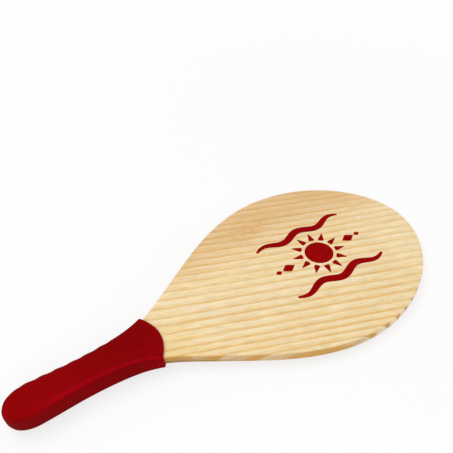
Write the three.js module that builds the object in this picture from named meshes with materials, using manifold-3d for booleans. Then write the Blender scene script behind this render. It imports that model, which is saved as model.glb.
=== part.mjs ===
// A frescobol racket, in millimetres, +Z up. It is made of four pieces: one pine board that is
// head and tang in one, two pine cheeks glued to the tang, and a foam-rubber sleeve with a closed
// butt, pulled over tang and cheeks. Nothing on it moves.
//
// Stations run along X from the butt of the sleeve to the tip of the head, and z = 0 is the
// board's middle plane. At the end the racket is set on the underside of its grip, with the
// origin under the middle of its length.

import * as THREE from 'three';
import { mergeVertices } from 'three/addons/utils/BufferGeometryUtils.js';
import Module from 'manifold-3d';

// Overall sizes of the board
const racketLength = 444;
const headWidth = 210;
const boardThickness = 9.8;
const boardEdgeRound = 1.2;

// The board's plan: where it is widest, where its flank turns, the narrow waist and the swell
const widestFromTip = 129;
const flankFromButt = 185.5;
const flankWidth = 107.5;
const waistFromButt = 65;
const waistWidth = 25.5;
const swellFromButt = 23.5;
const swellWidth = 28.3;

// Cheeks: full thickness, the ramp that runs out towards the head, and the bare wood's roundings
const cheekThickness = 4.6;
const rampFromButt = 92;
const rampLength = 51;
const handleEdgeRound = 4.4;
const handleDomeLength = 5.7;

// Sleeve: its walls, the fit over the wood, the tongue that its lip forms on each face, and how
// far the cheeks end short of the lip
const sleeveSideWall = 2.7;
const sleeveFaceWall = 2.2;
const sleeveEndWall = 2.7;
const fitGap = 0.3;
const lipCornerFromButt = 134;
const lipTongueReach = 9.5;
const cheekSetback = 5;

// Cuts run this far past what they cut
const overrun = 3;

// Distance under which two points are one
const weldDistance = 0.0001;

// How full each stretch of the outline is, as shares of the stretch's own length or width
const tipPullShare = 0.47;
const headPullShare = 0.58;
const headToFlankShare = 0.415;
const flankToHeadShare = 0.27;
const flankToWaistShare = 0.48;
const waistToFlankShare = 0.53;
const waistToSwellShare = 0.18;
const swellToWaistShare = 0.25;
const swellToEndShare = 0.555;
const endPullShare = 0.5;

// The flank's slope, as a share of the straight line from the waist to the widest place
const flankSteepShare = 1.69;

// A section's corner radius never takes more than this share of its smaller half
const cornerLimitShare = 0.95;

// Exponents of the ramp's run-out and of the butt's dome
const rampPower = 1.5;
const domePower = 3;

// Steps of each stretch of the outline, from the tip to the end of the tang
const stretchSteps = [28, 20, 20, 6, 12];

// Steps of a section's corner, of the board's edge and of a bowed cut
const cornerSteps = 5;
const edgeSteps = 2;
const bowSteps = 24;

// Derived heights and stations
const boardHalf = boardThickness / 2;
const gripThickness = boardThickness + 2 * (cheekThickness + fitGap + sleeveFaceWall);
const gripHalf = gripThickness / 2;
const tangEnd = sleeveEndWall + fitGap;
const lipApex = lipCornerFromButt + lipTongueReach;
const rampEnd = rampFromButt + rampLength;

// Growth of a shell over the bare wood: past the end, to the sides, over the faces and corners
const bareWood = { end: 0, side: 0, face: 0, round: 0 };
const cavityGrowth = { end: fitGap, side: fitGap, face: fitGap, round: fitGap };
const sleeveGrowth = {
  end: fitGap + sleeveEndWall,
  side: fitGap + sleeveSideWall,
  face: fitGap + sleeveFaceWall,
  round: fitGap + sleeveFaceWall,
};

const wasm = await Module();
wasm.setup();

// A closed geometry as a solid that can be cut
function toSolid(geometry) {
  const bare = geometry.clone();
  bare.deleteAttribute('normal');
  bare.deleteAttribute('uv');
  const merged = mergeVertices(bare, weldDistance);
  return new wasm.Manifold(new wasm.Mesh({
    numProp: 3,
    vertProperties: new Float32Array(merged.attributes.position.array),
    triVerts: new Uint32Array(merged.index.array),
  }));
}

// A cut solid as a geometry
function toGeometry(solid) {
  const mesh = solid.getMesh();
  const geometry = new THREE.BufferGeometry();
  geometry.setAttribute('position', new THREE.BufferAttribute(mesh.vertProperties, 3));
  geometry.setIndex(new THREE.BufferAttribute(mesh.triVerts, 1));
  geometry.computeVertexNormals();
  return geometry;
}

// One stretch of the outline, between two places and their pulls along the outline
function stretch(from, fromPull, to, toPull) {
  return new THREE.CubicBezierCurve(
    from, from.clone().add(fromPull), to.clone().add(toPull), to);
}

// The board's outline on its +Y side, from the tip to the end of the tang
function halfOutlineCurves() {
  const tip = new THREE.Vector2(racketLength, 0);
  const widest = new THREE.Vector2(racketLength - widestFromTip, headWidth / 2);
  const flank = new THREE.Vector2(flankFromButt, flankWidth / 2);
  const waist = new THREE.Vector2(waistFromButt, waistWidth / 2);
  const swell = new THREE.Vector2(swellFromButt, swellWidth / 2);
  const end = new THREE.Vector2(tangEnd, 0);
  const along = (length) => new THREE.Vector2(length, 0);
  const across = (width) => new THREE.Vector2(0, width);

  const slope = flankSteepShare * (widest.y - waist.y) / (widest.x - waist.x);
  const flankLine = new THREE.Vector2(1, slope).normalize();
  const headRun = widest.x - flank.x;
  const neckRun = flank.x - waist.x;
  const gripRun = waist.x - swell.x;
  const endRun = swell.x - end.x;

  return [
    stretch(tip, across(tipPullShare * widest.y), widest, along(headPullShare * widestFromTip)),
    stretch(widest, along(-headToFlankShare * headRun),
      flank, flankLine.clone().multiplyScalar(flankToHeadShare * headRun)),
    stretch(flank, flankLine.clone().multiplyScalar(-flankToWaistShare * neckRun),
      waist, along(waistToFlankShare * neckRun)),
    stretch(waist, along(-waistToSwellShare * gripRun), swell, along(swellToWaistShare * gripRun)),
    stretch(swell, along(-swellToEndShare * endRun), end, across(endPullShare * swell.y)),
  ];
}

// Points of the half outline with their outward normals
function halfOutline() {
  const places = [];
  halfOutlineCurves().forEach((curve, index) => {
    const steps = stretchSteps[index];
    for (let step = index === 0 ? 0 : 1; step <= steps; step += 1) {
      const share = step / steps;
      const tangent = curve.getTangent(share);
      const normal = new THREE.Vector2(tangent.y, -tangent.x);
      places.push({ point: curve.getPoint(share), normal });
    }
  });
  return places;
}

// How far a cheek stands off the board at a station: full on the grip, run out towards the head
function cheekRise(station) {
  const run = THREE.MathUtils.clamp((rampEnd - station) / rampLength, 0, 1);
  return cheekThickness * (1 - Math.pow(1 - run, rampPower));
}

// The tang alone has no rise
function noRise() {
  return 0;
}

// Half thickness at a station of what a growth makes of the handle, with its domed butt
function halfThickness(station, growth, rise) {
  const fromEnd = station - (tangEnd - growth.end);
  const short = 1 - THREE.MathUtils.clamp(fromEnd / (handleDomeLength + growth.end), 0, 1);
  const dome = Math.pow(1 - Math.pow(short, domePower), 1 / domePower);
  return dome * (boardHalf + rise(station) + growth.face);
}

// Corner radius: the board's own edge where there is no cheek, the handle's on the grip
function cornerRound(station, growth, rise) {
  const fullness = rise(station) / cheekThickness;
  return growth.round + boardEdgeRound + (handleEdgeRound - boardEdgeRound) * fullness;
}

// The ring of points of one section, a rectangle with rounded corners
function sectionRing(station, halfWidth, halfHeight, radius) {
  const round = Math.min(radius, cornerLimitShare * Math.min(halfWidth, halfHeight));
  const corners = [[1, 1], [-1, 1], [-1, -1], [1, -1]];
  const ring = [];
  corners.forEach(([sideY, sideZ], quarter) => {
    for (let step = 0; step <= cornerSteps; step += 1) {
      const angle = (quarter + step / cornerSteps) * Math.PI / 2;
      ring.push(new THREE.Vector3(
        station,
        sideY * (halfWidth - round) + round * Math.cos(angle),
        sideZ * (halfHeight - round) + round * Math.sin(angle)));
    }
  });
  return ring;
}

// A closed skin over rings in rising stations, from a pole at the butt to a flat end
function skin(pole, rings) {
  const count = rings[0].length;
  const last = rings.length - 1;
  const positions = [pole, ...rings.flat()].flatMap((point) => point.toArray());
  const at = (ring, step) => 1 + ring * count + (step % count);
  const faces = [];
  for (let step = 0; step < count; step += 1) {
    faces.push(0, at(0, step + 1), at(0, step));
    for (let ring = 0; ring < last; ring += 1) {
      faces.push(at(ring, step), at(ring, step + 1), at(ring + 1, step));
      faces.push(at(ring, step + 1), at(ring + 1, step + 1), at(ring + 1, step));
    }
  }
  for (let step = 1; step + 1 < count; step += 1) {
    faces.push(at(last, 0), at(last, step), at(last, step + 1));
  }
  const geometry = new THREE.BufferGeometry();
  geometry.setAttribute('position', new THREE.Float32BufferAttribute(positions, 3));
  geometry.setIndex(faces);
  return geometry;
}

// The handle with its cheeks, or the tang alone, from the butt to past the sleeve's lip
function handleSolid(growth, rise) {
  const fromButt = halfOutline().reverse().slice(1);
  const pastLip = fromButt.findIndex(({ point }) => point.x > lipApex + overrun);
  const rings = fromButt.slice(0, pastLip + 1).map(({ point, normal }) => {
    const station = point.x + normal.x * growth.end;
    const halfWidth = point.y + normal.y * growth.side;
    return sectionRing(station, halfWidth,
      halfThickness(station, growth, rise), cornerRound(station, growth, rise));
  });
  const pole = new THREE.Vector3(tangEnd - growth.end, 0, 0);
  return toSolid(skin(pole, rings));
}

// Half the sleeve's width at its lip corners
function lipHalfWidth() {
  const neck = halfOutline().map(({ point, normal }) => new THREE.Vector2(
    point.x + normal.x * sleeveGrowth.end, point.y + normal.y * sleeveGrowth.side));
  const after = neck.findIndex((place) => place.x < lipCornerFromButt);
  const before = after - 1;
  const share = (neck[before].x - lipCornerFromButt) / (neck[before].x - neck[after].x);
  return THREE.MathUtils.lerp(neck[before].y, neck[after].y, share);
}

// Room behind a cut that bows towards the head as the lip does, between two heights
function bowedRoom(setback, bottom, top) {
  const half = lipHalfWidth();
  const radius = (half * half + lipTongueReach * lipTongueReach) / (2 * lipTongueReach);
  const opening = Math.asin(half / radius);
  const corner = lipCornerFromButt - setback;
  const middle = lipApex - setback - radius;
  const outside = half + overrun;
  const plan = new THREE.Shape();
  plan.moveTo(-overrun, -outside);
  plan.lineTo(corner, -outside);
  plan.lineTo(corner, -half);
  plan.absarc(middle, 0, radius, -opening, opening, false);
  plan.lineTo(corner, outside);
  plan.lineTo(-overrun, outside);
  plan.closePath();
  const room = new THREE.ExtrudeGeometry(plan, {
    depth: top - bottom, bevelEnabled: false, curveSegments: bowSteps,
  });
  room.translate(0, 0, bottom);
  return toSolid(room);
}

// Head and tang: one board with softened edges
function bladeGeometry() {
  const half = halfOutline().map(({ point }) => point);
  const mirrored = half.slice(1, -1).reverse().map((point) => new THREE.Vector2(point.x, -point.y));
  const plan = new THREE.Shape([...half, ...mirrored]);
  const board = new THREE.ExtrudeGeometry(plan, {
    depth: boardThickness - 2 * boardEdgeRound,
    bevelEnabled: true,
    bevelThickness: boardEdgeRound,
    bevelSize: boardEdgeRound,
    bevelOffset: -boardEdgeRound,
    bevelSegments: edgeSteps,
  });
  board.translate(0, 0, boardEdgeRound - boardHalf);
  return board;
}

// The cheek glued to the board's front face, with a bowed nose short of the sleeve's lip
function cheekGeometry() {
  const room = bowedRoom(cheekSetback, boardHalf, gripHalf);
  return toGeometry(handleSolid(bareWood, cheekRise).intersect(room));
}

// The sleeve: a shell over the handle, closed at the butt, that hugs the board at its lip
function sleeveGeometry() {
  const outside = handleSolid(sleeveGrowth, cheekRise).intersect(
    bowedRoom(0, -gripHalf - overrun, gripHalf + overrun));
  const cheekCavity = handleSolid(cavityGrowth, cheekRise).intersect(
    bowedRoom(cheekSetback - fitGap, -gripHalf, gripHalf));
  const tangCavity = handleSolid(cavityGrowth, noRise);
  return toGeometry(outside.subtract(cheekCavity.add(tangCavity)));
}

const pine = new THREE.MeshStandardMaterial({ color: 0xecd3a0, roughness: 0.42, metalness: 0 });
const cheekPine = new THREE.MeshStandardMaterial({ color: 0xe2c48d, roughness: 0.7, metalness: 0 });
const redFoam = new THREE.MeshStandardMaterial({ color: 0x8b060b, roughness: 0.75, metalness: 0 });

const racket = new THREE.Group();

const blade = new THREE.Mesh(bladeGeometry(), pine);
blade.name = 'blade';
racket.add(blade);

const frontCheek = new THREE.Mesh(cheekGeometry(), cheekPine);
frontCheek.name = 'front_cheek';
racket.add(frontCheek);

// The back cheek is the same piece turned over about the racket's length
const backCheek = new THREE.Mesh(frontCheek.geometry, cheekPine.clone());
backCheek.name = 'back_cheek';
backCheek.rotation.x = Math.PI;
racket.add(backCheek);

const sleeve = new THREE.Mesh(sleeveGeometry(), redFoam);
sleeve.name = 'grip_sleeve';
racket.add(sleeve);

racket.position.set(-racketLength / 2, 0, gripHalf);

const part = new THREE.Group();
part.add(racket);

export default part;
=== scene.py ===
import math

import bpy
import numpy as np
from bpy.props import FloatProperty, FloatVectorProperty, IntProperty, PointerProperty
from mathutils import Matrix, Quaternion, Vector


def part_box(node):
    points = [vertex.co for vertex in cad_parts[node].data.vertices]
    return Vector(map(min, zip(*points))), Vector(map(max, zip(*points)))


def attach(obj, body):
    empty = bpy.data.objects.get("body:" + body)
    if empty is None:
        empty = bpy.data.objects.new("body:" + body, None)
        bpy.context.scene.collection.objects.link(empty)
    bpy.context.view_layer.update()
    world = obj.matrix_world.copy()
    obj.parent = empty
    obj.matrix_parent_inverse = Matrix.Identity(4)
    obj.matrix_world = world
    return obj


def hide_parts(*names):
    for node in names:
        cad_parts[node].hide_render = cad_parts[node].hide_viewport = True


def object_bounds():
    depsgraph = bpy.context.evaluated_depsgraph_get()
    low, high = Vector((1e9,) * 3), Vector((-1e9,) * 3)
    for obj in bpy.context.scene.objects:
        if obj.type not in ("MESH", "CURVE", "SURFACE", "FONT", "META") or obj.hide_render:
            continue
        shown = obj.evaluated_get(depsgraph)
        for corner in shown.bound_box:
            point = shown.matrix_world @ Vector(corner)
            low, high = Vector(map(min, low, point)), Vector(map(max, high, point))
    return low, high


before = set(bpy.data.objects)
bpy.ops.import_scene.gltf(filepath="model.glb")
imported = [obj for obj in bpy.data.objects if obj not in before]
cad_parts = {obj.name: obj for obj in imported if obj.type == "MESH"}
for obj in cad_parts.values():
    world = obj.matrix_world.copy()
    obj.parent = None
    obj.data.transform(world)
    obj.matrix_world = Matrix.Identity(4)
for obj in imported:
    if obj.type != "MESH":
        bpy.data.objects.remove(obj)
cad_low, cad_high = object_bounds()
blade_low, blade_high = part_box("blade")

bl_info = {
    "name": "Beach racket",
    "version": (1, 0, 0),
    "blender": (4, 5, 0),
    "location": "3D View > Sidebar > Racket",
    "description": "Dresses a wooden beach racket: lacquered pine board, foam grip, screen print and stage",
    "category": "Object",
}

MM = 0.001

# Stations are measured along +X from the sleeve's butt, heights from the board's middle plane.
BUTT = cad_low.x
MIDDLE = (blade_low.z + blade_high.z) / 2
RACKET_LENGTH = cad_high.x - cad_low.x
HEAD_WIDTH = blade_high.y - blade_low.y
BOARD_THICKNESS = blade_high.z - blade_low.z
TANG_END = blade_low.x - cad_low.x

# How full each stretch of the outline is: its two pulls, as shares of the stretch
TIP_PULL, HEAD_PULL = 0.47, 0.58
HEAD_TO_FLANK, FLANK_TO_HEAD = 0.415, 0.27
FLANK_TO_WAIST, WAIST_TO_FLANK = 0.48, 0.53
WAIST_TO_SWELL, SWELL_TO_WAIST = 0.18, 0.25
SWELL_TO_END, END_PULL = 0.555, 0.5
FLANK_STEEPNESS = 1.69

# The board's rounded edges, and the handle's rounded corners and domed butt
EDGE_ROUND = 1.2 * MM
HANDLE_ROUND = 4.4 * MM
DOME_LENGTH = 5.7 * MM
RAMP_POWER = 1.5
DOME_POWER = 3.0
CORNER_LIMIT = 0.95

# Fineness of the meshes: degrees between loops of a rounded edge, width of the loop beside it, steps of
# the outline that the sleeve is measured from, rounds in which a ring settles towards the lip, and the
# stations that divide each stretch of the sleeve's outer and inner skin
CORNER_STEP = 15
BORDER = 0.4 * MM
HANDLE_STEPS = 1200
SETTLING_ROUNDS = 40
BUTT_RINGS, BODY_RINGS, EDGE_RINGS = 26, 96, 6
INNER_RINGS, INNER_BUTT_RINGS = 40, 14

# The sleeve: where its rings begin to lean towards the lip, how far the close rings of the butt run on past
# the dome, the gap round the wood, the length tucked in under the lip, and where the inner skin's butt ends
LEAN_START = 60 * MM
BUTT_RUN = 7 * MM
INNER_GAP = 0.3 * MM
TUCK_LENGTH = 3 * MM
INNER_END = 20 * MM

# Fullness of a ring, from 0 on the inner skin to 1 on the outer one: about halfway in the lip's end face,
# and where the lip closes on the board
LIP_MIDDLE, LIP_PRESS = 0.45, -0.08

# Painted highlight and painted shade on the foam: angles from the sides round a section, in degrees, and
# their spreads
EDGE_TURN = 58
BESIDE_TURN = 20
TURN_SPREAD = 17
FLANK_SPREAD = 30
# Stations where a look sets in, each with the length over which it grows, and the rings that a lip takes
RIDGE_GROWS = (14 * MM, 28 * MM)
RIDGE_FULL = (85 * MM, 25 * MM)
NEAR_LIP = (110 * MM, 20 * MM)
PAST_BUTT = (45 * MM, 50 * MM)
LIP_RINGS = 11

# Stretches of stations over which the looks of wood and foam change; the first two carry painted shade on
# the edge beside and near the sleeve
SHADE_BESIDE_SLEEVE = (153 * MM, 159 * MM)
SLEEVE_SHADOW = (130 * MM, 215 * MM)
NECK = (150 * MM, 198 * MM)
PALER_TIP = (355 * MM, 425 * MM)
BUTT_LIGHTENING = (30 * MM, 105 * MM)

# Distances across board and grain: the redder +Y side, the yellower -Y side, and where rings crowd
UPPER_SIDE = (35 * MM, 115 * MM)
LOWER_SIDE = (-60 * MM, -10 * MM)
CROWDED_SIDE = -30 * MM

# The swirl in the grain, as beside a small knot, and the small strays of every ring
SWIRL_STATION, SWIRL_ACROSS = 288 * MM, 69 * MM
SWIRL_LENGTH, SWIRL_WIDTH = 26 * MM, 12 * MM
SWIRL_WANDER = 9 * MM
TWIST_SCALE = 130.0
QUICK_WANDER = 0.7 * MM

# Colours mixed into the wood, and tints that darken it; on the edge, the soaked colours are partly painted
# shade, the sanded colour is partly painted light, and the edge and contact shade tints are painted shade
SWIRL_BROWN = (0.70, 0.36, 0.15)
CANAL_BROWN = (0.42, 0.22, 0.08)
SOAKED_AND_SHADED_LATE = (0.66, 0.35, 0.052)
SANDED_AND_LIT = (0.88, 0.76, 0.62)
UPPER_TINT = (0.78, 0.76, 0.76)
SOAKED_AND_SHADED_TINT = (0.82, 0.75, 0.75)
RING_END_TINT = (0.66, 0.49, 0.33)
EDGE_SHADE_TINT = (0.60, 0.56, 0.55)
CONTACT_SHADE_TINT = (0.46, 0.44, 0.50)

# Sizes of the foam's grain, mottling and scuffs, and of the ink's pinholes and pools
FOAM_GRAIN = 0.4 * MM
FOAM_MOTTLE = 5 * MM
FOAM_SCUFF = 22 * MM
PINHOLE = 0.8 * MM
POOL = 9 * MM

# Depth of each surface's relief
LACQUER_RELIEF = 0.07 * MM
RAW_RELIEF = 0.20 * MM
FOAM_RELIEF = 0.22 * MM
INK_RELIEF = 0.05 * MM

# The print: how deep a film sits in the wood, the gap between disc and rays, the width left at a point,
# and each lozenge's distance from the sun's middle, length and width
FILM_SINK = 0.02 * MM
RAY_GAP = 3 * MM
POINT_WIDTH = 0.1 * MM
LOZENGES = ((39.5 * MM, 15 * MM, 10 * MM), (51.5 * MM, 7.5 * MM, 5.5 * MM))
# Forms of its strokes: how soon a ray's foot is full and how far it tapers, how thin a wave line ends and
# how long it stays full, and how much a lozenge's sides bow
RAY_FOOT, RAY_TAPER = 5, 0.9
WAVE_END, WAVE_FULLNESS = 0.17, 2.5
LOZENGE_BOW = 1.2

# The stage: the floor's half side, its drop below the grip, how white it is near the racket and over which
# distances it fades to white; each light's diameter and place; the camera's sensor and clipping distances
FLOOR_HALF = 20.0
FLOOR_DROP = 0.02 * MM
FLOOR_WHITENESS = 0.72
FLOOR_FADE = (0.3, 1.2)
KEY_LIGHT = (1.6, (-0.5, 0.9, 1.9))
FILL_LIGHT = (0.8, (-0.7, -1.1, 1.0))
SIDE_LIGHT = (0.8, (1.7, -0.4, 0.3))
SENSOR_WIDTH = 36
NEAREST, FARTHEST = 0.01, 100


# Settings that a user would change

def setting(name, description, default, **kind):
    """A setting with its limits and its unit."""
    return FloatProperty(name=name, description=description, default=default, **kind)


def metres(name, description, default):
    """A setting in metres."""
    return setting(name, description, default, min=0.0, unit="LENGTH")


def share(name, description, default):
    """A setting from 0 to 1."""
    return setting(name, description, default, min=0.0, max=1.0, subtype="FACTOR")


def watts(name, description, default):
    """A light's power, in watts."""
    return setting(name, description, default, min=0.0, unit="POWER")


def degrees(name, description, default):
    """An angle setting, given in degrees."""
    return setting(name, description, math.radians(default), subtype="ANGLE")


def colour(name, description, default):
    """A colour setting, in linear light."""
    return FloatVectorProperty(name=name, description=description, default=default, size=3,
                               min=0.0, max=1.0, subtype="COLOR")


class BoardSettings(bpy.types.PropertyGroup):
    widest_from_tip: metres("Widest from tip", "From the tip to the head's widest place", 129 * MM)
    flank_station: metres("Flank station", "Where the flank turns from neck to head", 185.5 * MM)
    flank_width: metres("Flank width", "Width of the board at the flank", 107.5 * MM)
    waist_station: metres("Waist station", "Where the handle is narrowest", 65 * MM)
    waist_width: metres("Waist width", "Width of the tang at the waist", 25.5 * MM)
    swell_station: metres("Swell station", "Where the handle is fullest near its butt", 23.5 * MM)
    swell_width: metres("Swell width", "Width of the tang at the swell", 28.3 * MM)
    outline_steps: IntProperty(name="Outline steps", default=84, min=12,
                               description="Steps of the longest stretch of the outline")


class PineSettings(bpy.types.PropertyGroup):
    ring_spacing: metres("Ring spacing", "Distance from one growth ring to the next on the face", 9.6 * MM)
    ring_offset: setting("Ring offset", "Where the rings begin, in rings", 0.08)
    crowding: setting("Crowding", "How fast rings crowd towards the -Y flank, in rings per m2", 600.0)
    ring_slant: setting("Ring slant", "Sideways run of a ring through the board's thickness", 0.2)
    grain_angle: degrees("Grain angle", "Angle of the grain to the racket's length", 21)
    wander: metres("Wander", "How far a ring strays from a straight line", 2.4 * MM)
    fan: setting("Fan", "How much the rings fan out, as slope for each metre towards +Y", 0.5)
    early_wood: colour("Early wood", "Pale spring wood", (0.890, 0.742, 0.500))
    late_wood: colour("Late wood", "Amber summer wood", (0.73, 0.42, 0.11))
    honey: colour("Honey", "Yellow tint in streaks", (0.865, 0.672, 0.335))
    blush: colour("Blush", "Warm tint in resinous places", (0.76, 0.45, 0.185))
    roughness: share("Roughness", "Roughness of the lacquer", 0.42)


class SleeveSettings(bpy.types.PropertyGroup):
    side_wall: metres("Side wall", "Foam at the sides, with its fit", 3.0 * MM)
    face_wall: metres("Face wall", "Foam over the faces, with its fit", 2.5 * MM)
    end_wall: metres("End wall", "Foam over the butt, with its fit", 3.0 * MM)
    cheek: metres("Cheek", "Thickness of each cheek under the sleeve", 4.6 * MM)
    ramp_station: metres("Ramp station", "Where the cheeks begin to run out", 92 * MM)
    ramp_length: metres("Ramp length", "Length over which the cheeks run out", 51 * MM)
    lip_corner: metres("Lip corner", "Station of the lip at the sides", 134 * MM)
    lip_reach: metres("Lip reach", "How far the lip bows towards the head", 9.9 * MM)
    lip_shoulder: metres("Lip shoulder", "How far the tongue's foot lies in from the sides", 1.9 * MM)
    lip_softness: metres("Lip softness", "How softly the tongue runs out into the shoulders", 2 * MM)
    lip_turn: metres("Lip turn", "How far the sleeve is turned on the handle, at its faces", 0.8 * MM)
    lip_round: metres("Lip rounding", "Rounding of the lip's outer edge", 0.7 * MM)
    scallop_depth: metres("Scallop depth", "Depth of the shallow scallops along the +Y flank", 0.75 * MM)
    scallop_pitch: metres("Scallop pitch", "From one scallop to the next", 13.2 * MM)
    first_scallop: metres("First scallop", "Station of the scallop nearest the butt", 19.3 * MM)
    last_scallop: metres("Last scallop", "Station of the scallop nearest the head", 98.5 * MM)
    cell_size: metres("Cell size", "Size of the foam's cells", 0.75 * MM)
    foam: colour("Foam", "Colour of the foam", (0.240, 0.0005, 0.0010))
    # Painted highlight: the foam colour where a highlight is painted over the -Y edges and the lip
    ridge: colour("Ridge", "Colour of the foam where it is stretched over an edge", (0.405, 0.0004, 0.0100))
    # Painted shade: the foam colour where shade is painted beside an edge
    painted_shade: colour("Pressed", "Colour of the foam beside an edge", (0.182, 0.0018, 0.0030))


class PrintSettings(bpy.types.PropertyGroup):
    station: metres("Station", "Middle of the print along the racket", 330 * MM)
    film: metres("Film", "How far the ink stands on the wood", 0.06 * MM)
    sun_radius: metres("Sun radius", "Radius of the sun's disc", 15 * MM)
    ray_count: IntProperty(name="Rays", description="Number of the sun's rays", default=12, min=4)
    ray_length: metres("Ray length", "Length of one ray", 11 * MM)
    ray_width: metres("Ray width", "Width of one ray at its foot", 7.4 * MM)
    wave_across: metres("Wave place", "From the sun's middle to the middle of a wave line", 35 * MM)
    wave_length: metres("Wave length", "Length of one wave", 44 * MM)
    wave_height: metres("Wave height", "Height of a wave above its middle", 3.4 * MM)
    wave_stroke: metres("Wave stroke", "Width of a wave's line at its middle", 8.4 * MM)
    wave_span: metres("Wave span", "Length of a wave line from end to end", 110 * MM)
    ink: colour("Ink", "Colour of the ink", (0.336, 0.0006, 0.0009))


class StageSettings(bpy.types.PropertyGroup):
    floor: colour("Floor", "Colour of the floor", (0.93, 0.93, 0.93))
    sky: share("Sky", "Strength of the light from all round", 0.55)
    key: watts("Key light", "Power of the light overhead", 18.3)
    fill: watts("Fill light", "Power of the light near the camera", 6.0)
    side: watts("Side light", "Power of the light beyond the tip", 6.0)
    camera_place: FloatVectorProperty(name="Camera place", description="Where the camera stands", size=3,
                                      default=(-0.16216, -0.27000, 0.40972), subtype="TRANSLATION")
    camera_aim: FloatVectorProperty(name="Camera aim", description="What the camera looks at", size=3,
                                    default=(0.05131, 0.09236, 0.012), subtype="TRANSLATION")
    camera_roll: degrees("Camera roll", "Turn of the camera about its view", -2.4)
    focal_length: setting("Focal length", "Focal length for a 36 mm sensor", 40.82, min=1.0)


class RacketSettings(bpy.types.PropertyGroup):
    board: PointerProperty(type=BoardSettings, name="Board", description="Sizes of the board")
    pine: PointerProperty(type=PineSettings, name="Pine", description="Growth rings and colours")
    sleeve: PointerProperty(type=SleeveSettings, name="Sleeve",
                            description="Sizes and colours of the sleeve")
    print: PointerProperty(type=PrintSettings, name="Print", description="Sizes and colour of the print")
    stage: PointerProperty(type=StageSettings, name="Stage", description="Floor, lights and camera")


# Shader maths

class Value:
    """A shader socket that can stand in an expression."""

    def __init__(self, shader, socket):
        self.shader = shader
        self.socket = socket

    def math(self, operation, *others, clamp=False):
        return self.shader.node("ShaderNodeMath", {"operation": operation, "use_clamp": clamp},
                                dict(enumerate((self, *others))))

    def __add__(self, other):
        return self.math("ADD", other)

    __radd__ = __add__

    def __sub__(self, other):
        return self.math("SUBTRACT", other)

    def __rsub__(self, other):
        return self.shader.node("ShaderNodeMath", {"operation": "SUBTRACT"}, {0: other, 1: self})

    def __mul__(self, other):
        return self.math("MULTIPLY", other)

    __rmul__ = __mul__

    def __truediv__(self, other):
        return self.math("DIVIDE", other)

    def __pow__(self, other):
        return self.math("POWER", other)

    def __neg__(self):
        return self.math("MULTIPLY", -1.0)

    def clamped(self):
        return self.math("ADD", 0.0, clamp=True)

    def step(self, low, high):
        """Smooth step from 0 at low to 1 at high."""
        return self.shader.node(
            "ShaderNodeMapRange", {"interpolation_type": "SMOOTHSTEP", "clamp": True},
            {"Value": self, "From Min": low, "From Max": high})


class Shader:
    """A material or world with its node tree, and the surface shader that its look goes into."""

    def __init__(self, holder):
        holder.use_nodes = True
        self.tree = holder.node_tree
        self.tree.nodes.clear()

    def node(self, kind, settings=None, inputs=None, out=0):
        made = self.tree.nodes.new(kind)
        for key, value in (settings or {}).items():
            setattr(made, key, value)
        for key, value in (inputs or {}).items():
            if isinstance(value, Value):
                self.tree.links.new(value.socket, made.inputs[key])
            else:
                made.inputs[key].default_value = value
        return Value(self, made.outputs[out]) if made.outputs else made

    def place(self):
        """The point on the object, in metres, as a vector and as its three parts."""
        point = self.node("ShaderNodeTexCoord", out="Object")
        parts = self.node("ShaderNodeSeparateXYZ", inputs={0: point})
        sockets = parts.socket.node.outputs
        return point, [Value(self, socket) for socket in sockets]

    def vector(self, x, y, z):
        return self.node("ShaderNodeCombineXYZ", inputs={0: x, 1: y, 2: z})

    def noise(self, vector, scale, detail=2.0, roughness=0.5):
        return self.node("ShaderNodeTexNoise", inputs={
            "Vector": vector, "Scale": scale, "Detail": detail, "Roughness": roughness})

    def streaks(self, place, scales, detail=2.0, roughness=0.5):
        """Noise drawn out along the grain: scales are patches per metre along, across and through it."""
        drawn_out = self.vector(*(part * scale for part, scale in zip(place, scales)))
        return self.noise(drawn_out, 1.0, detail, roughness)

    def facing(self, direction):
        """How squarely the surface faces a direction, from -1 to 1."""
        normal = self.node("ShaderNodeTexCoord", out="Normal")
        return self.node("ShaderNodeVectorMath", {"operation": "DOT_PRODUCT"},
                         {0: normal, 1: direction}, out="Value")

    def attribute(self, name):
        return self.node("ShaderNodeAttribute", {"attribute_name": name}, out="Fac")

    def mix(self, factor, first, second, blend="MIX"):
        """Two tones mixed or blended, each a socket or a colour."""
        first, second = (tone if isinstance(tone, Value) else (*tone, 1.0) for tone in (first, second))
        return self.node("ShaderNodeMix", {"data_type": "RGBA", "blend_type": blend},
                         {0: factor, 6: first, 7: second}, out=2)

    def shade(self, tone, amount):
        """A colour made lighter or darker by a number."""
        return self.mix(1.0, tone, self.vector(amount, amount, amount), "MULTIPLY")

    def bump(self, height, distance):
        return self.node("ShaderNodeBump", inputs={"Height": height, "Distance": distance, "Strength": 1.0})

    def surface(self, **inputs):
        """The one surface shader, with its sockets named by words joined by underscores."""
        named = {key.replace("_", " "): value for key, value in inputs.items()}
        self.output(self.node("ShaderNodeBsdfPrincipled", inputs=named))

    def output(self, shade, kind="ShaderNodeOutputMaterial"):
        self.node(kind, inputs={"Surface": shade})


def grain_axes(x, y, pine):
    """Distances along and across a straight grain."""
    cos, sin = math.cos(pine.grain_angle), math.sin(pine.grain_angle)
    return x * cos - y * sin, x * sin + y * cos


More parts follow.
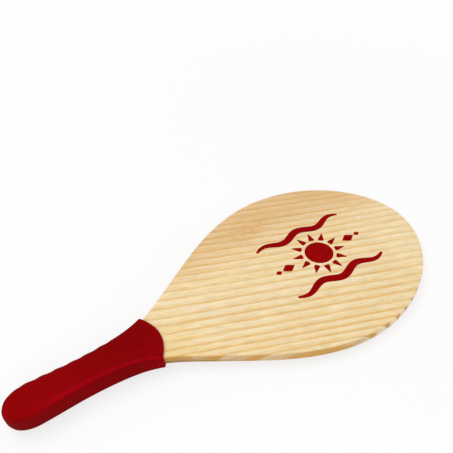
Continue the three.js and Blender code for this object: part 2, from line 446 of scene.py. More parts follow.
class Grain:
    """A board's grain as fields in space, so that its faces and its edge agree."""

    def __init__(self, shader, pine):
        self.shader = shader
        self.pine = pine
        point, (x, y, z) = shader.place()
        self.y = y
        self.station = x - BUTT
        self.below_face = z - (MIDDLE + BOARD_THICKNESS / 2)
        along, across = grain_axes(x, y, pine)
        across = across + x * y.math("MAXIMUM", 0.0) * pine.fan + self.below_face * pine.ring_slant

        # Rings stray slowly, more on the +Y side, and most in the swirl
        self.upper = (y + across * 0.3).step(*UPPER_SIDE)
        slow = shader.streaks((along, across, z), (4.0, 14.0, 14.0), 1.0)
        quick = shader.streaks((along, across, z), (30.0, 70.0, 70.0), 1.0)
        swirl_x = (self.station - SWIRL_STATION) / SWIRL_LENGTH
        swirl_y = (y - SWIRL_ACROSS) / SWIRL_WIDTH
        self.swirl = (-(swirl_x * swirl_x + swirl_y * swirl_y)).math("EXPONENT")
        self.twist = shader.noise(point, TWIST_SCALE, 1.5)
        self.across = (across + (slow - 0.5) * pine.wander * (1.0 + self.upper * 1.5)
                       + (quick - 0.5) * QUICK_WANDER * (1.0 + self.upper * 2.0)
                       + self.swirl * (self.twist - 0.5) * SWIRL_WANDER)
        self.place = (along, self.across, z)
        self.fibre = self.streaks(45.0, 1500.0, 2.0, 0.6)
        self.canal = self.streaks(80.0, 2200.0, 0.0).step(0.71, 0.78)

    def streaks(self, along, across, detail=2.0, roughness=0.5):
        """Noise in streaks that follow the rings, with so many patches per metre along and across."""
        return self.shader.streaks(self.place, (along, across, across), detail, roughness)

    def late_wood(self):
        """Share of summer wood: a ring deepens slowly, ends in a dark line and is pale again at once."""
        shader, pine = self.shader, self.pine
        uneven = shader.streaks(self.place, (0.0, 45.0, 0.0), 0.0) - 0.5
        crowded = (self.across - CROWDED_SIDE).math("MINIMUM", 0.0)
        ring = 0.86 - (self.across / pine.ring_spacing - crowded * crowded * pine.crowding
                       + pine.ring_offset + uneven * 0.35)
        age = ring.math("FRACT")
        chance = shader.node("ShaderNodeTexWhiteNoise", {"noise_dimensions": "1D"},
                             {"W": ring.math("FLOOR")})
        fall = 1.0 - age.step(0.865, 0.985)
        line = age.step(0.42, 0.86) ** 1.4 * fall
        tone = age.step(0.03, 0.84) * fall
        patchy = self.streaks(50.0, 190.0, 3.0, 0.6)
        late = (line * 0.46 + tone * 0.30) * (0.74 + chance * 0.26) * (0.45 + patchy * 1.1)
        late = late * (1.0 - self.upper * 0.12)

        # Fine false rings lie between the true ones, and all pale towards the tip
        false_rings = shader.streaks(self.place, (5.0, 520.0, 140.0))
        late = late + (false_rings - 0.52).math("MAXIMUM", 0.0) * 1.1
        return late * (1.0 - self.station.step(*PALER_TIP) * 0.3)


def wood_colour(grain, late, edge):
    """Spring and summer wood with honey streaks, and a warm blush on the +Y side and in the swirl."""
    shader, pine, upper = grain.shader, grain.pine, grain.upper
    streak = grain.streaks(55.0, 260.0, 3.0, 0.6)
    cloud = grain.streaks(7.0, 26.0)
    lower = 1.0 - grain.across.step(*LOWER_SIDE)
    neck = 1.0 - grain.station.step(*NECK)
    honey = (streak.step(0.36, 0.66) * 0.62 + cloud.step(0.35, 0.65) * 0.16 + lower * 0.14
             + neck * (0.30 - grain.y * 7.0)).clamped()
    wood = shader.mix(honey, pine.early_wood, pine.honey)
    blush = (cloud.step(0.44, 0.72) * (0.05 + upper * 0.30) + upper * 0.60 + grain.swirl * 0.26).clamped()
    wood = shader.mix(blush, wood, pine.blush)
    wood = shader.mix(grain.swirl * grain.twist.step(0.50, 0.64) * 0.5, wood, SWIRL_BROWN)
    wood = shader.mix(late, wood, pine.late_wood)
    wood = shader.mix(upper * (0.14 + late * 0.55), wood, UPPER_TINT, "MULTIPLY")

    # Fibre, mottling, drifting light and dark, and resin canals
    mottle = grain.streaks(60.0, 420.0, 2.0, 0.6)
    drift = grain.streaks(110.0, 160.0, 1.0)
    edge_streaks = grain.streaks(40.0, 350.0, 2.0, 0.6) - 0.5
    wood = shader.shade(wood, 0.64 + grain.fibre * 0.32 + mottle * 0.26 + drift * 0.14
                        + edge_streaks * edge * 0.25)
    return shader.mix(grain.canal * 0.35, wood, CANAL_BROWN)


def edge_colour(grain, wood, late, edge, ending):
    """The edge soaks up lacquer and gets painted shade, but for its sanded end grain, which is paler partly
    as painted light; painted shade darkens it beside the sleeve and along its lower arris.
    """
    shader = grain.shader
    depth = grain.below_face / BOARD_THICKNESS
    # End grain is paler, partly as sanded wood and partly as painted light from the tip's side
    sanded_and_lit = edge * (ending * ending).step(0.03, 0.14)
    # The edge's soaked tint is partly the lacquer's colour and partly painted shade
    soaked_and_shaded = edge - sanded_and_lit * 0.85
    wood = shader.mix(soaked_and_shaded, wood, SOAKED_AND_SHADED_TINT, "MULTIPLY")
    wood = shader.mix(soaked_and_shaded * late * 0.7, wood, SOAKED_AND_SHADED_LATE)
    wood = shader.mix(sanded_and_lit * (1.0 - late * 0.6) * 0.30, wood, SANDED_AND_LIT)
    ring_end = sanded_and_lit * late.step(0.42, 0.82) * (0.30 + depth.step(-0.90, -0.05) * 0.65)
    wood = shader.mix(ring_end, wood, RING_END_TINT, "MULTIPLY")
    # Painted shade on the edge near the sleeve, strongest low down, and along the lower arris all the way
    # round
    sleeve_shadow = 1.0 - grain.station.step(*SLEEVE_SHADOW)
    painted_edge_shade = edge * (sleeve_shadow * (1.0 - depth.step(-0.95, -0.05) * 0.85) * 0.9
                     + (1.0 - depth.step(-0.99, -0.80)) * (0.35 + sleeve_shadow * 0.4))
    wood = shader.mix(painted_edge_shade.clamped(), wood, EDGE_SHADE_TINT, "MULTIPLY")
    # Painted shade: a dark band on the lowest part of the edge near the sleeve
    painted_contact_shade = edge * sleeve_shadow * (1.0 - depth.step(-0.92, -0.62))
    return shader.mix(painted_contact_shade, wood, CONTACT_SHADE_TINT, "MULTIPLY")


def pine_material(name, pine, raw):
    """Pine with slanting growth rings that run through the whole board, lacquered or raw."""
    material = bpy.data.materials.new(name)
    shader = Shader(material)
    grain = Grain(shader, pine)
    upright = shader.facing((0.0, 0.0, 1.0))
    edge = 1.0 - upright * upright
    ending = shader.facing((math.cos(pine.grain_angle), -math.sin(pine.grain_angle), 0.0))

    # The sawn edge shows the rings at full depth, and beside the sleeve painted shade makes it dark all
    # over
    shade_beside_sleeve = 1.0 - grain.station.step(*SHADE_BESIDE_SLEEVE)
    late = (grain.late_wood() * (1.0 + edge * 0.85) + edge * shade_beside_sleeve * 0.6).clamped()
    wood = edge_colour(grain, wood_colour(grain, late, edge), late, edge, ending)

    height = late * 0.55 + grain.fibre * 0.35 - grain.canal * 0.3
    normal = shader.bump(height, RAW_RELIEF if raw else LACQUER_RELIEF)
    if raw:
        rough = 0.72 + grain.fibre * 0.12
    else:
        rough = pine.roughness + grain.fibre * 0.08 - late * 0.06
    shader.surface(Base_Color=wood, Roughness=rough, Normal=normal, Specular_IOR_Level=0.25)
    return material


def foam_material(name, sleeve):
    """Dense matt foam rubber: fine closed cells, slow mottling, a painted highlight over the edges and the
    lip, and painted shade beside the edges.
    """
    material = bpy.data.materials.new(name)
    shader = Shader(material)
    point, (x, _, _) = shader.place()
    cells = shader.node("ShaderNodeTexVoronoi", {"feature": "SMOOTH_F1"}, {
        "Vector": point, "Scale": 1 / sleeve.cell_size, "Smoothness": 0.35}, out="Distance")
    grain = shader.noise(point, 1 / FOAM_GRAIN, 3.0, 0.6)
    mottle = shader.noise(point, 1 / FOAM_MOTTLE, 3.0, 0.55)
    scuff = shader.noise(point, 1 / FOAM_SCUFF, 2.0)

    # Painted highlight: the foam is mixed paler over the -Y edges and the lip
    pale = (shader.attribute("painted_highlight") * (mottle * 0.5 + scuff * 0.8)).clamped()
    tone = shader.mix(pale, sleeve.foam, sleeve.ridge)
    # Lighter towards the butt
    near_butt = 1.0 - (x - BUTT).step(*BUTT_LIGHTENING)
    tone = shader.shade(tone, 0.61 + mottle * 0.28 + grain * 0.12 + cells * 0.16 + scuff * 0.08
                        + near_butt * 0.20)
    # Painted shade: the foam is mixed darker beside the edges
    tone = shader.mix(shader.attribute("painted_shade") * 0.8, tone, sleeve.painted_shade)
    normal = shader.bump(cells * 0.7 + grain * 0.3, FOAM_RELIEF)
    shader.surface(Base_Color=tone, Roughness=0.62 + grain * 0.16, Normal=normal, Specular_IOR_Level=0.02)
    return material


def ink_material(name, pattern, pine):
    """Screen ink: satin, a little uneven, with the wood's grain showing faintly through."""
    material = bpy.data.materials.new(name)
    shader = Shader(material)
    point, (x, y, z) = shader.place()
    place = (*grain_axes(x, y, pine), z)
    fibre = shader.streaks(place, (45.0, 1500.0, 1500.0), 2.0, 0.6)
    rings = shader.streaks(place, (5.0, 110.0, 0.0), 1.0)
    pinhole = shader.noise(point, 1 / PINHOLE, 1.0).step(0.76, 0.80)
    pooled = shader.noise(point, 1 / POOL, 2.0)
    thin = rings.step(0.35, 0.65) * 0.30 + pooled.step(0.35, 0.65) * 0.55 + fibre * 0.2
    ink = shader.mix(thin.clamped(), pattern.ink, [value * 0.72 for value in pattern.ink])
    ink = shader.mix(pinhole * 0.15, ink, pine.early_wood)
    normal = shader.bump(fibre, INK_RELIEF)
    shader.surface(Base_Color=ink, Roughness=0.42 + fibre * 0.12, Normal=normal, Specular_IOR_Level=0.02)
    return material


# Meshes

def bezier(start, start_pull, end, end_pull, steps):
    """Points and outward normals of one stretch."""
    start, end = np.array(start, float), np.array(end, float)
    a, b = start + start_pull, end + end_pull
    t = np.linspace(0, 1, steps + 1)[:, None]
    point = start * (1 - t) ** 3 + 3 * a * t * (1 - t) ** 2 + 3 * b * t ** 2 * (1 - t) + end * t ** 3
    slope = (a - start) * (1 - t) ** 2 + 2 * (b - a) * t * (1 - t) + (end - b) * t ** 2
    slope /= np.linalg.norm(slope, axis=1)[:, None]
    return point, np.stack([slope[:, 1], -slope[:, 0]], -1)


def half_outline(board, steps):
    """The board's outline on its +Y side, from the tip to the end of the tang, with normals."""
    tip = np.array([RACKET_LENGTH, 0.0])
    widest = np.array([RACKET_LENGTH - board.widest_from_tip, HEAD_WIDTH / 2])
    flank = np.array([board.flank_station, board.flank_width / 2])
    waist = np.array([board.waist_station, board.waist_width / 2])
    swell = np.array([board.swell_station, board.swell_width / 2])
    end = np.array([TANG_END, 0.0])
    along, across = np.array([1.0, 0.0]), np.array([0.0, 1.0])
    slope = FLANK_STEEPNESS * (widest[1] - waist[1]) / (widest[0] - waist[0])
    line = np.array([1.0, slope]) / math.hypot(1.0, slope)
    head_run, neck_run = widest[0] - flank[0], flank[0] - waist[0]
    grip_run, end_run = waist[0] - swell[0], swell[0] - end[0]
    stretches = [
        (tip, TIP_PULL * widest[1] * across, widest, HEAD_PULL * board.widest_from_tip * along, 1.0),
        (widest, -HEAD_TO_FLANK * head_run * along, flank, FLANK_TO_HEAD * head_run * line, 0.7),
        (flank, -FLANK_TO_WAIST * neck_run * line, waist, WAIST_TO_FLANK * neck_run * along, 0.7),
        (waist, -WAIST_TO_SWELL * grip_run * along, swell, SWELL_TO_WAIST * grip_run * along, 0.25),
        (swell, -SWELL_TO_END * end_run * along, end, END_PULL * swell[1] * across, 0.4),
    ]
    points, normals = [], []
    for start, start_pull, stop, stop_pull, part in stretches:
        point, normal = bezier(start, start_pull, stop, stop_pull, max(4, round(steps * part)))
        skip = 1 if points else 0
        points.append(point[skip:])
        normals.append(normal[skip:])
    return np.concatenate(points), np.concatenate(normals)


def make_mesh(name, points, faces, material):
    """A smooth-shaded object from stations, sideways places and heights."""
    placed = np.asarray(points, float) + (BUTT, 0.0, MIDDLE)
    mesh = bpy.data.meshes.new(name)
    mesh.from_pydata(placed.tolist(), [], faces)
    mesh.validate()
    mesh.polygons.foreach_set("use_smooth", [True] * len(mesh.polygons))
    mesh.materials.append(material)
    made = bpy.data.objects.new(name, mesh)
    bpy.context.scene.collection.objects.link(made)
    return made


def loop_faces(loops, count, first=0):
    """Quads between closed loops of points that follow each other."""
    faces = []
    for loop in range(loops - 1):
        for step in range(count):
            a = first + loop * count + step
            b = first + loop * count + (step + 1) % count
            faces.append((a, b, b + count, a + count))
    return faces


def board_mesh(board, material):
    """The board with evenly rounded edges and flat faces."""
    half, normals = half_outline(board, board.outline_steps)
    back = slice(-2, 0, -1)
    outline = np.concatenate([half, half[back] * (1, -1)])
    normal = np.concatenate([normals, normals[back] * (1, -1)])
    high = BOARD_THICKNESS / 2
    corner = [math.radians(angle) for angle in range(0, 91, CORNER_STEP)]
    rounding = [(EDGE_ROUND * (1 - math.sin(a)), EDGE_ROUND * (1 - math.cos(a)) - high) for a in corner]
    lower = [(EDGE_ROUND + BORDER, -high), *rounding, (0.0, EDGE_ROUND + BORDER - high)]
    profile = lower + [(inset, -height) for inset, height in reversed(lower)]
    loops = [np.column_stack([outline - normal * inset, np.full(len(outline), height)])
             for inset, height in profile]
    count = len(outline)
    faces = loop_faces(len(loops), count)

    # The two flat faces are strips of quads from the tip to the end of the tang
    last = len(half) - 1
    for base, flip in ((0, False), ((len(loops) - 1) * count, True)):
        for step in range(last):
            a, b = base + step, base + step + 1
            c, d = base + (count - step - 1) % count, base + (count - step) % count
            face = [a, d, c, b] if step else [a, c, b]
            if step == last - 1:
                face = [a, d, b]
            faces.append(face[::-1] if flip else face)
    return make_mesh("pine_board", np.concatenate(loops), faces, material)


class Handle:
    """The swollen handle that the sleeve's skins follow, ring by ring."""

    def __init__(self, board, sleeve):
        self.sleeve = sleeve
        self.points, self.normals = half_outline(board, HANDLE_STEPS)
        self.pattern = section_pattern()
        self.top = sleeve.lip_corner + sleeve.lip_reach
        self.lip_half = self.section(np.array([sleeve.lip_corner]), 1.0, 1.0)[0][0]

    def rise(self, station):
        """How far a cheek stands on the board: its thickness, until it runs out towards the head."""
        run = np.clip((self.sleeve.ramp_station + self.sleeve.ramp_length - station)
                      / self.sleeve.ramp_length, 0, 1)
        return self.sleeve.cheek * (1 - (1 - run) ** RAMP_POWER)

    def section(self, station, fullness, tuck):
        """Half width, half height and corner radius at each station, with a share of the cheeks' rise."""
        sleeve = self.sleeve
        end, side, face = (INNER_GAP + (wall - INNER_GAP) * fullness
                           for wall in (sleeve.end_wall, sleeve.side_wall, sleeve.face_wall))
        xs = self.points[::-1, 0] + self.normals[::-1, 0] * end
        ys = self.points[::-1, 1] + self.normals[::-1, 1] * side
        width = np.interp(station, xs, ys)
        rise = self.rise(station) * tuck
        short = 1 - np.clip((station - (TANG_END - end)) / (DOME_LENGTH + end), 0, 1)
        dome = (1 - short ** DOME_POWER) ** (1 / DOME_POWER)
        height = dome * (BOARD_THICKNESS / 2 + rise + face)
        corner = face + EDGE_ROUND + (HANDLE_ROUND - EDGE_ROUND) * rise / sleeve.cheek
        return width, height, np.minimum(corner, CORNER_LIMIT * np.minimum(width, height))

    def scallops(self, station):
        """How far the +Y flank is drawn in at each station."""
        sleeve = self.sleeve
        past = np.maximum(sleeve.first_scallop - station, station - sleeve.last_scallop)
        fade = np.clip(1.0 - past / sleeve.scallop_pitch * 2, 0, 1)
        turn = 2 * math.pi * (station - sleeve.first_scallop) / sleeve.scallop_pitch
        return sleeve.scallop_depth / 2 * np.cos(turn) * fade

    def lip(self, across, rise):
        """Station of the lip: a bowed tongue on each face that runs out into short shoulders."""
        sleeve = self.sleeve
        from_middle = across - sleeve.lip_turn * rise
        tongue = sleeve.lip_reach * (1 - (from_middle / (self.lip_half - sleeve.lip_shoulder)) ** 2)
        return sleeve.lip_corner + (tongue + np.hypot(tongue, sleeve.lip_softness)) / 2

    def ring(self, station, fullness=1.0, setback=0.0, tuck=1.0):
        """One ring, on the inner skin at fullness 0 and the outer at 1, leaning ever more to the lip."""
        flat_y, flat_z, round_y, round_z = self.pattern.T
        place = np.full(len(self.pattern), float(station))
        part = max(0.0, (station - LEAN_START) / (self.top - LEAN_START))
        for _ in range(SETTLING_ROUNDS):
            width, height, corner = self.section(place, fullness, tuck)
            across = flat_y * (width - corner) + corner * round_y
            rise = flat_z + (round_z - flat_z) * corner / height
            goal = station + part * (self.lip(across, rise) - setback - self.top)
            place = 0.5 * place + 0.5 * goal
        width, height, corner = self.section(place, fullness, tuck)
        drawn_in = self.scallops(place) * np.maximum(round_y, 0) if fullness == 1.0 else 0.0
        return np.column_stack([place, flat_y * (width - corner) + corner * round_y - drawn_in,
                                flat_z * (height - corner) + corner * round_z])


def section_pattern(corner_steps=10, top_steps=14, side_steps=4):
    """Points round a section: their share of the flats and the way they round, both in Y and Z."""
    pattern = []
    for quarter, (side_y, side_z) in enumerate(((1, 1), (-1, 1), (-1, -1), (1, -1))):
        for step in range(corner_steps + 1):
            angle = (quarter + step / corner_steps) * math.pi / 2
            pattern.append((side_y, side_z, math.cos(angle), math.sin(angle)))
        steps = top_steps if quarter % 2 == 0 else side_steps
        for step in range(1, steps):
            part = 1 - 2 * step / steps
            if quarter % 2 == 0:
                pattern.append((side_y * part, side_z, 0.0, float(side_z)))
            else:
                pattern.append((side_y, side_z * part, float(side_y), 0.0))
    return np.array(pattern)


def ramp(value, start, length):
    """How far a value is past its start, as a share of a length, from 0 to 1."""
    return np.clip((value - start) / length, 0, 1)


def mark_foam(made, points, pattern, outer_rings):
    """Mark where a highlight is painted pale over the -Y edges and the lip, and where shade is painted dark
    beside an edge.
    """
    flat_y, _, round_y, round_z = pattern.T
    count = len(pattern)
    near = (1 - flat_y) / 2
    turn = np.degrees(np.arctan2(np.abs(round_z), np.abs(round_y)))
    over_edge = np.exp(-((turn - EDGE_TURN) / TURN_SPREAD) ** 2)
    beside = np.exp(-((turn - BESIDE_TURN) / TURN_SPREAD) ** 2)
    flank = np.exp(-(turn / FLANK_SPREAD) ** 2)
    looks = {"painted_highlight": np.zeros(len(points)), "painted_shade": np.zeros(len(points))}
    for number in range(outer_rings):
        here = slice(1 + number * count, 1 + (number + 1) * count)
        station = points[here, 0]
        lip = max(0.0, 1 - (outer_rings - 1 - number) / LIP_RINGS)
        grown = ramp(station, *RIDGE_GROWS)
        close = ramp(station, *NEAR_LIP)

        # Painted highlight along the -Y ridge, round the lip's rim, and where the face bends near the lip
        ridge = over_edge * grown * (0.78 + 0.22 * ramp(station, *RIDGE_FULL)) * near
        rim = np.minimum(lip * 1.4, 0.6) * (0.35 + 0.65 * ramp(near, 0.35, 0.25))
        bend_highlight = 0.32 * close * ramp(near, 0.5, 0.2)
        looks["painted_highlight"][here] = np.max([ridge, rim, bend_highlight], axis=0)

        # Painted shade under the ridge, on the far edge and on the flanks near the butt
        under_ridge = beside * grown * (1 - lip) * (1 - 0.5 * close)
        far_edge = over_edge * (1 - near) * 0.5
        butt_flank = flank * (1 - ramp(station, *PAST_BUTT)) * 0.9
        looks["painted_shade"][here] = np.max([under_ridge, far_edge, butt_flank], axis=0)
    for look, values in looks.items():
        attribute = made.data.attributes.new(look, "FLOAT", "POINT")
        attribute.data.foreach_set("value", values.astype(np.float32))


def outer_skin(handle, butt):
    """Rings from the butt to the lip, closer together over the butt."""
    swell = [butt + (DOME_LENGTH + BUTT_RUN) * (1 - math.cos(angle))
             for angle in np.linspace(0, math.pi / 2, BUTT_RINGS)[1:]]
    body = list(np.linspace(swell[-1], handle.top, BODY_RINGS)[1:-1])
    return [handle.ring(station) for station in swell + body]


def lip_rings(handle, sleeve):
    """The lip's rounded outer edge and the middle of its end face."""
    wall = sleeve.face_wall - INNER_GAP
    rings = []
    for angle in np.linspace(0, math.pi / 2, EDGE_RINGS):
        less = sleeve.lip_round * (1 - math.cos(angle)) / wall
        rings.append(handle.ring(handle.top, 1.0 - less, sleeve.lip_round * (1 - math.sin(angle))))
    return rings + [handle.ring(handle.top, LIP_MIDDLE)]


def inner_skin(handle, butt):
    """Rings that close on the board at the lip, climb onto the cheeks and run back to the butt."""
    rings = [handle.ring(handle.top, LIP_PRESS, tuck=0.0),
             handle.ring(handle.top - TUCK_LENGTH / 2, 0.0, tuck=0.5)]
    stations = list(np.linspace(handle.top - TUCK_LENGTH, INNER_END, INNER_RINGS))
    stations += [butt + (INNER_END - butt) * (1 - math.cos(angle))
                 for angle in np.linspace(math.pi / 2, 0, INNER_BUTT_RINGS)[1:-1]]
    return rings + [handle.ring(station, 0.0) for station in stations]


def sleeve_mesh(board, sleeve, material):
    """The foam sleeve: outer skin, rounded lip and inner skin, closed at the butt."""
    handle = Handle(board, sleeve)
    butt, inner_butt = TANG_END - sleeve.end_wall, TANG_END - INNER_GAP
    outer = outer_skin(handle, butt) + lip_rings(handle, sleeve)
    rings = outer + inner_skin(handle, inner_butt)
    count = len(handle.pattern)
    points = np.concatenate([[[butt, 0.0, 0.0]], *rings, [[inner_butt, 0.0, 0.0]]])
    faces = [(0, 1 + (step + 1) % count, 1 + step) for step in range(count)]
    faces += loop_faces(len(rings), count, 1)
    last = 1 + (len(rings) - 1) * count
    faces += [(len(points) - 1, last + step, last + (step + 1) % count) for step in range(count)]
    made = make_mesh("foam_sleeve", points, faces, material)
    mark_foam(made, points, handle.pattern, len(outer))
    return made


def ink_mesh(name, strips, film, material):
    """Closed thin films on the board's front face, one for each strip of pairs of points."""
    low, high = BOARD_THICKNESS / 2 - FILM_SINK, BOARD_THICKNESS / 2 + film
    points, faces = [], []
    for strip in strips:
        left, right = zip(*strip)
        count = len(strip)
        lower_l, lower_r, upper_l, upper_r = (len(points) + row * count for row in range(4))
        points += [(x, y, height) for height in (low, high) for x, y in left + right]
        for step in range(count - 1):
            faces.append((upper_l + step, upper_r + step, upper_r + step + 1, upper_l + step + 1))
            faces.append((lower_l + step, lower_l + step + 1, lower_r + step + 1, lower_r + step))
            faces.append((lower_l + step, upper_l + step, upper_l + step + 1, lower_l + step + 1))
            faces.append((lower_r + step, lower_r + step + 1, upper_r + step + 1, upper_r + step))
        faces.append((lower_l, lower_r, upper_r, upper_l))
        end = count - 1
        faces.append((lower_l + end, upper_l + end, upper_r + end, lower_r + end))
    piece = make_mesh(name, points, faces, material)
    piece.data.polygons.foreach_set("use_smooth", [False] * len(piece.data.polygons))
    return piece


def both_sides(place, forward, half_width):
    """The pair of points to the left and to the right of a place, seen along a direction."""
    side = np.array([-forward[1], forward[0]]) * half_width
    return tuple(place + side), tuple(place - side)


def disc_strip(middle, radius, steps=96, start=0.02):
    """A disc between its two half circles, cut off a hair from each end."""
    return [both_sides((middle - radius * math.cos(a), 0.0), (1.0, 0.0), radius * math.sin(a))
            for a in np.linspace(start, math.pi - start, steps)]


def ray_strip(middle, angle, inner, outer, half_width, steps=14):
    """A tapering ray with a rounded foot and a blunt point."""
    direction = np.array([math.cos(angle), math.sin(angle)])
    strip = []

    # The steps lie closer together at the foot, and the last one has half the width
    for part in np.linspace(0, 1, steps) ** 1.5:
        foot = math.sqrt(1 - (1 - min(1.0, part * RAY_FOOT)) ** 2)
        width = half_width * (1 - RAY_TAPER * part) * (0.25 + 0.75 * foot) * (1 if part < 1 else 0.5)
        place = (middle, 0.0) + direction * (inner + (outer - inner) * part)
        strip.append(both_sides(place, direction, width))
    return strip


def wave_strip(middle, across, pattern, steps=200, cap_steps=8):
    """One wavy line with round ends, along the racket."""
    tip = pattern.wave_stroke * WAVE_END
    half = pattern.wave_span / 2 - tip
    turn = 2 * math.pi / pattern.wave_length
    height = math.copysign(pattern.wave_height, across)

    def spine(along):
        place = np.array([middle + along, across + height * math.cos(turn * along)])
        slope = -height * turn * math.sin(turn * along)
        return place, np.array([1.0, slope]) / math.hypot(1.0, slope)

    def stroke(along):
        """Half the line's width: full for most of its length, thin at its ends."""
        return tip + (pattern.wave_stroke / 2 - tip) * (1 - abs(along / half) ** WAVE_FULLNESS)

    # A round end stops a hair before its quarter circles meet, so that no two points fall together
    caps = [(1 - part) * math.pi / 2 * 0.99 for part in np.linspace(0, 1, cap_steps)]
    stations = [(-half, -tip * math.sin(a), tip * math.cos(a)) for a in caps]
    stations += [(along, 0.0, stroke(along)) for along in np.linspace(-half, half, steps)[1:-1]]
    stations += [(half, tip * math.sin(a), tip * math.cos(a)) for a in reversed(caps)]
    strip = []
    for along, beyond, width in stations:
        place, forward = spine(along)
        strip.append(both_sides(place + forward * beyond, forward, width))
    return strip


def lozenge_strip(middle, length, width, steps=9):
    """A small lozenge with softly bowed sides."""
    strip = []
    for part in np.linspace(-1, 1, steps):
        half_width = width / 2 * (1 - abs(part) ** LOZENGE_BOW) + POINT_WIDTH
        strip.append(both_sides((middle + part * length / 2, 0.0), (1.0, 0.0), half_width))
    return strip


def sun_strips(middle, pattern):
    """The sun's disc, its rays, and the lozenges on both sides of it along the racket."""
    foot = pattern.sun_radius + RAY_GAP
    tip = foot + pattern.ray_length
    strips = [disc_strip(middle, pattern.sun_radius)]
    for number in range(pattern.ray_count):
        angle = 2 * math.pi * (number + 0.5) / pattern.ray_count
        strips.append(ray_strip(middle, angle, foot, tip, pattern.ray_width / 2))
    for side in (-1, 1):
        for away, size, width in LOZENGES:
            strips.append(lozenge_strip(middle + side * away, size, width))
    return strips


# Operators, one for each piece or group of pieces

class RACKET_OT_board(bpy.types.Operator):
    """Make the lacquered pine board, head and tang in one"""
    bl_idname = "racket.board"
    bl_label = "Board"

    def execute(self, context):
        settings = context.scene.racket
        material = pine_material("lacquered_pine", settings.pine, raw=False)
        board = board_mesh(settings.board, material)
        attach(board, "root")
        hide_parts("blade")
        return {"FINISHED"}


class RACKET_OT_cheeks(bpy.types.Operator):
    """Give the two hidden cheeks their raw pine"""
    bl_idname = "racket.cheeks"
    bl_label = "Cheeks"

    def execute(self, context):
        material = pine_material("raw_pine", context.scene.racket.pine, raw=True)
        for name in ("front_cheek", "back_cheek"):
            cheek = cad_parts[name]
            for slot in cheek.material_slots:
                slot.material = material
        return {"FINISHED"}


class RACKET_OT_sleeve(bpy.types.Operator):
    """Make the foam-rubber sleeve over tang and cheeks"""
    bl_idname = "racket.sleeve"
    bl_label = "Sleeve"

    def execute(self, context):
        settings = context.scene.racket
        material = foam_material("red_foam", settings.sleeve)
        sleeve = sleeve_mesh(settings.board, settings.sleeve, material)
        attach(sleeve, "root")
        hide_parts("grip_sleeve")
        return {"FINISHED"}


class RACKET_OT_print(bpy.types.Operator):
    """Print a sun between wavy lines on the head's front face"""
    bl_idname = "racket.print"
    bl_label = "Print"

    def execute(self, context):
        settings = context.scene.racket
        pattern = settings.print
        material = ink_material("red_ink", pattern, settings.pine)
        sun = sun_strips(pattern.station, pattern)
        waves = [wave_strip(pattern.station, side * pattern.wave_across, pattern) for side in (1, -1)]
        for name, strips in (("ink_sun", sun), ("ink_waves", waves)):
            piece = ink_mesh(name, strips, pattern.film, material)
            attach(piece, "root")
        return {"FINISHED"}


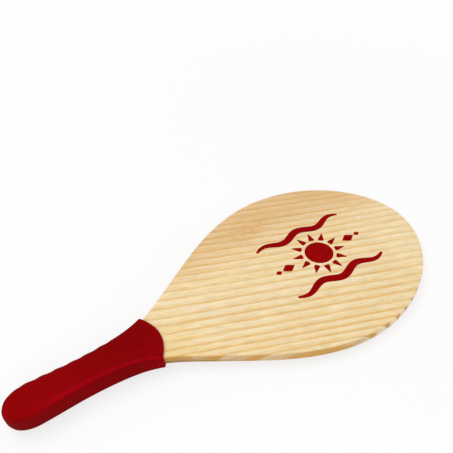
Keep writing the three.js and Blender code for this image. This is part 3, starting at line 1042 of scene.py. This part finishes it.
class RACKET_OT_stage(bpy.types.Operator):
    """Set the floor, the soft lights and the camera"""
    bl_idname = "racket.stage"
    bl_label = "Stage"

    def execute(self, context):
        scene = context.scene
        stage = scene.racket.stage
        scene.view_settings.view_transform = "Standard"
        self.floor(scene, stage)
        self.world(scene, stage)
        self.light(scene, "key_light", stage.key, *KEY_LIGHT)
        self.light(scene, "fill_light", stage.fill, *FILL_LIGHT)
        self.light(scene, "side_light", stage.side, *SIDE_LIGHT)
        self.camera(scene, stage)
        return {"FINISHED"}

    def camera(self, scene, stage):
        data = bpy.data.cameras.new("camera")
        data.lens = stage.focal_length
        data.sensor_width = SENSOR_WIDTH
        data.clip_start, data.clip_end = NEAREST, FARTHEST
        camera = bpy.data.objects.new("camera", data)
        scene.collection.objects.link(camera)
        self.aim(camera, Vector(stage.camera_place), Vector(stage.camera_aim), stage.camera_roll)
        scene.camera = camera

    def aim(self, made, place, target, roll=0.0):
        """Stand a light or a camera in its place and turn it to its target."""
        turn = (target - place).to_track_quat("-Z", "Y")
        made.rotation_mode = "QUATERNION"
        made.location = place
        made.rotation_quaternion = turn @ Quaternion((0, 0, 1), roll)

    def floor(self, scene, stage):
        """The floor touches the underside of the grip and of the head's tip, and fades to white."""
        grip = Vector((BUTT + scene.racket.sleeve.ramp_station, 0, cad_low.z - FLOOR_DROP))
        tip = Vector((cad_high.x - EDGE_ROUND, 0, blade_low.z))
        slope = math.atan2(tip.z - grip.z, tip.x - grip.x)
        half = FLOOR_HALF
        mesh = bpy.data.meshes.new("floor")
        mesh.from_pydata([(-half, -half, 0), (half, -half, 0), (half, half, 0), (-half, half, 0)], [],
                         [(0, 1, 2, 3)])
        floor = bpy.data.objects.new("floor", mesh)
        floor.matrix_world = Matrix.Translation(grip) @ Matrix.Rotation(-slope, 4, "Y")
        material = bpy.data.materials.new("white_floor")
        shader = Shader(material)
        point, _ = shader.place()
        distance = shader.node("ShaderNodeVectorMath", {"operation": "LENGTH"}, {0: point}, out="Value")
        fade = FLOOR_WHITENESS + distance.step(*FLOOR_FADE) * (1 - FLOOR_WHITENESS)
        white_share = self.seen(shader) * fade
        matt = shader.node("ShaderNodeBsdfDiffuse", inputs={"Color": (*stage.floor, 1.0)})
        white = shader.node("ShaderNodeEmission", inputs={"Color": (1, 1, 1, 1), "Strength": 1.0})
        shade = shader.node("ShaderNodeMixShader", inputs={0: white_share, 1: matt, 2: white})
        shader.output(shade)
        mesh.materials.append(material)
        scene.collection.objects.link(floor)

    def seen(self, shader):
        """1 for rays that show the background: seen directly, mirrored or through glass."""
        path = shader.node("ShaderNodeLightPath").socket.node.outputs
        camera, glossy, glass = (Value(shader, path[name]) for name in
                                 ("Is Camera Ray", "Is Glossy Ray", "Is Transmission Ray"))
        return (camera + glossy + glass).clamped()

    def world(self, scene, stage):
        """A white sky that gives only a part of its strength as light."""
        world = bpy.data.worlds.new("sky")
        scene.world = world
        shader = Shader(world)
        strength = stage.sky + self.seen(shader) * (1.0 - stage.sky)
        light = shader.node("ShaderNodeBackground", inputs={"Color": (1, 1, 1, 1), "Strength": strength})
        shader.output(light, "ShaderNodeOutputWorld")

    def light(self, scene, name, power, size, place):
        data = bpy.data.lights.new(name, "AREA")
        data.shape = "DISK"
        data.size = size
        data.energy = power
        light = bpy.data.objects.new(name, data)
        scene.collection.objects.link(light)
        self.aim(light, Vector(place), Vector((0, 0, 0)))


class RACKET_PT_panel(bpy.types.Panel):
    """The racket's operators, each with its settings"""
    bl_label = "Beach racket"
    bl_idname = "RACKET_PT_panel"
    bl_space_type = "VIEW_3D"
    bl_region_type = "UI"
    bl_category = "Racket"

    def draw(self, context):
        settings = context.scene.racket
        for operator, groups in (
                ("racket.board", (settings.board, settings.pine)), ("racket.cheeks", ()),
                ("racket.sleeve", (settings.sleeve,)), ("racket.print", (settings.print,)),
                ("racket.stage", (settings.stage,))):
            box = self.layout.box()
            box.operator(operator)
            for group in groups:
                for name in group.__annotations__:
                    box.prop(group, name)


CLASSES = (BoardSettings, PineSettings, SleeveSettings, PrintSettings, StageSettings, RacketSettings,
           RACKET_OT_board, RACKET_OT_cheeks, RACKET_OT_sleeve, RACKET_OT_print, RACKET_OT_stage,
           RACKET_PT_panel)


def register():
    for made in CLASSES:
        bpy.utils.register_class(made)
    bpy.types.Scene.racket = PointerProperty(type=RacketSettings)


def unregister():
    del bpy.types.Scene.racket
    for made in reversed(CLASSES):
        bpy.utils.unregister_class(made)


def main():
    register()
    bpy.ops.racket.board()
    bpy.ops.racket.cheeks()
    bpy.ops.racket.sleeve()
    bpy.ops.racket.print()
    bpy.ops.racket.stage()


if __name__ == "__main__":
    main()
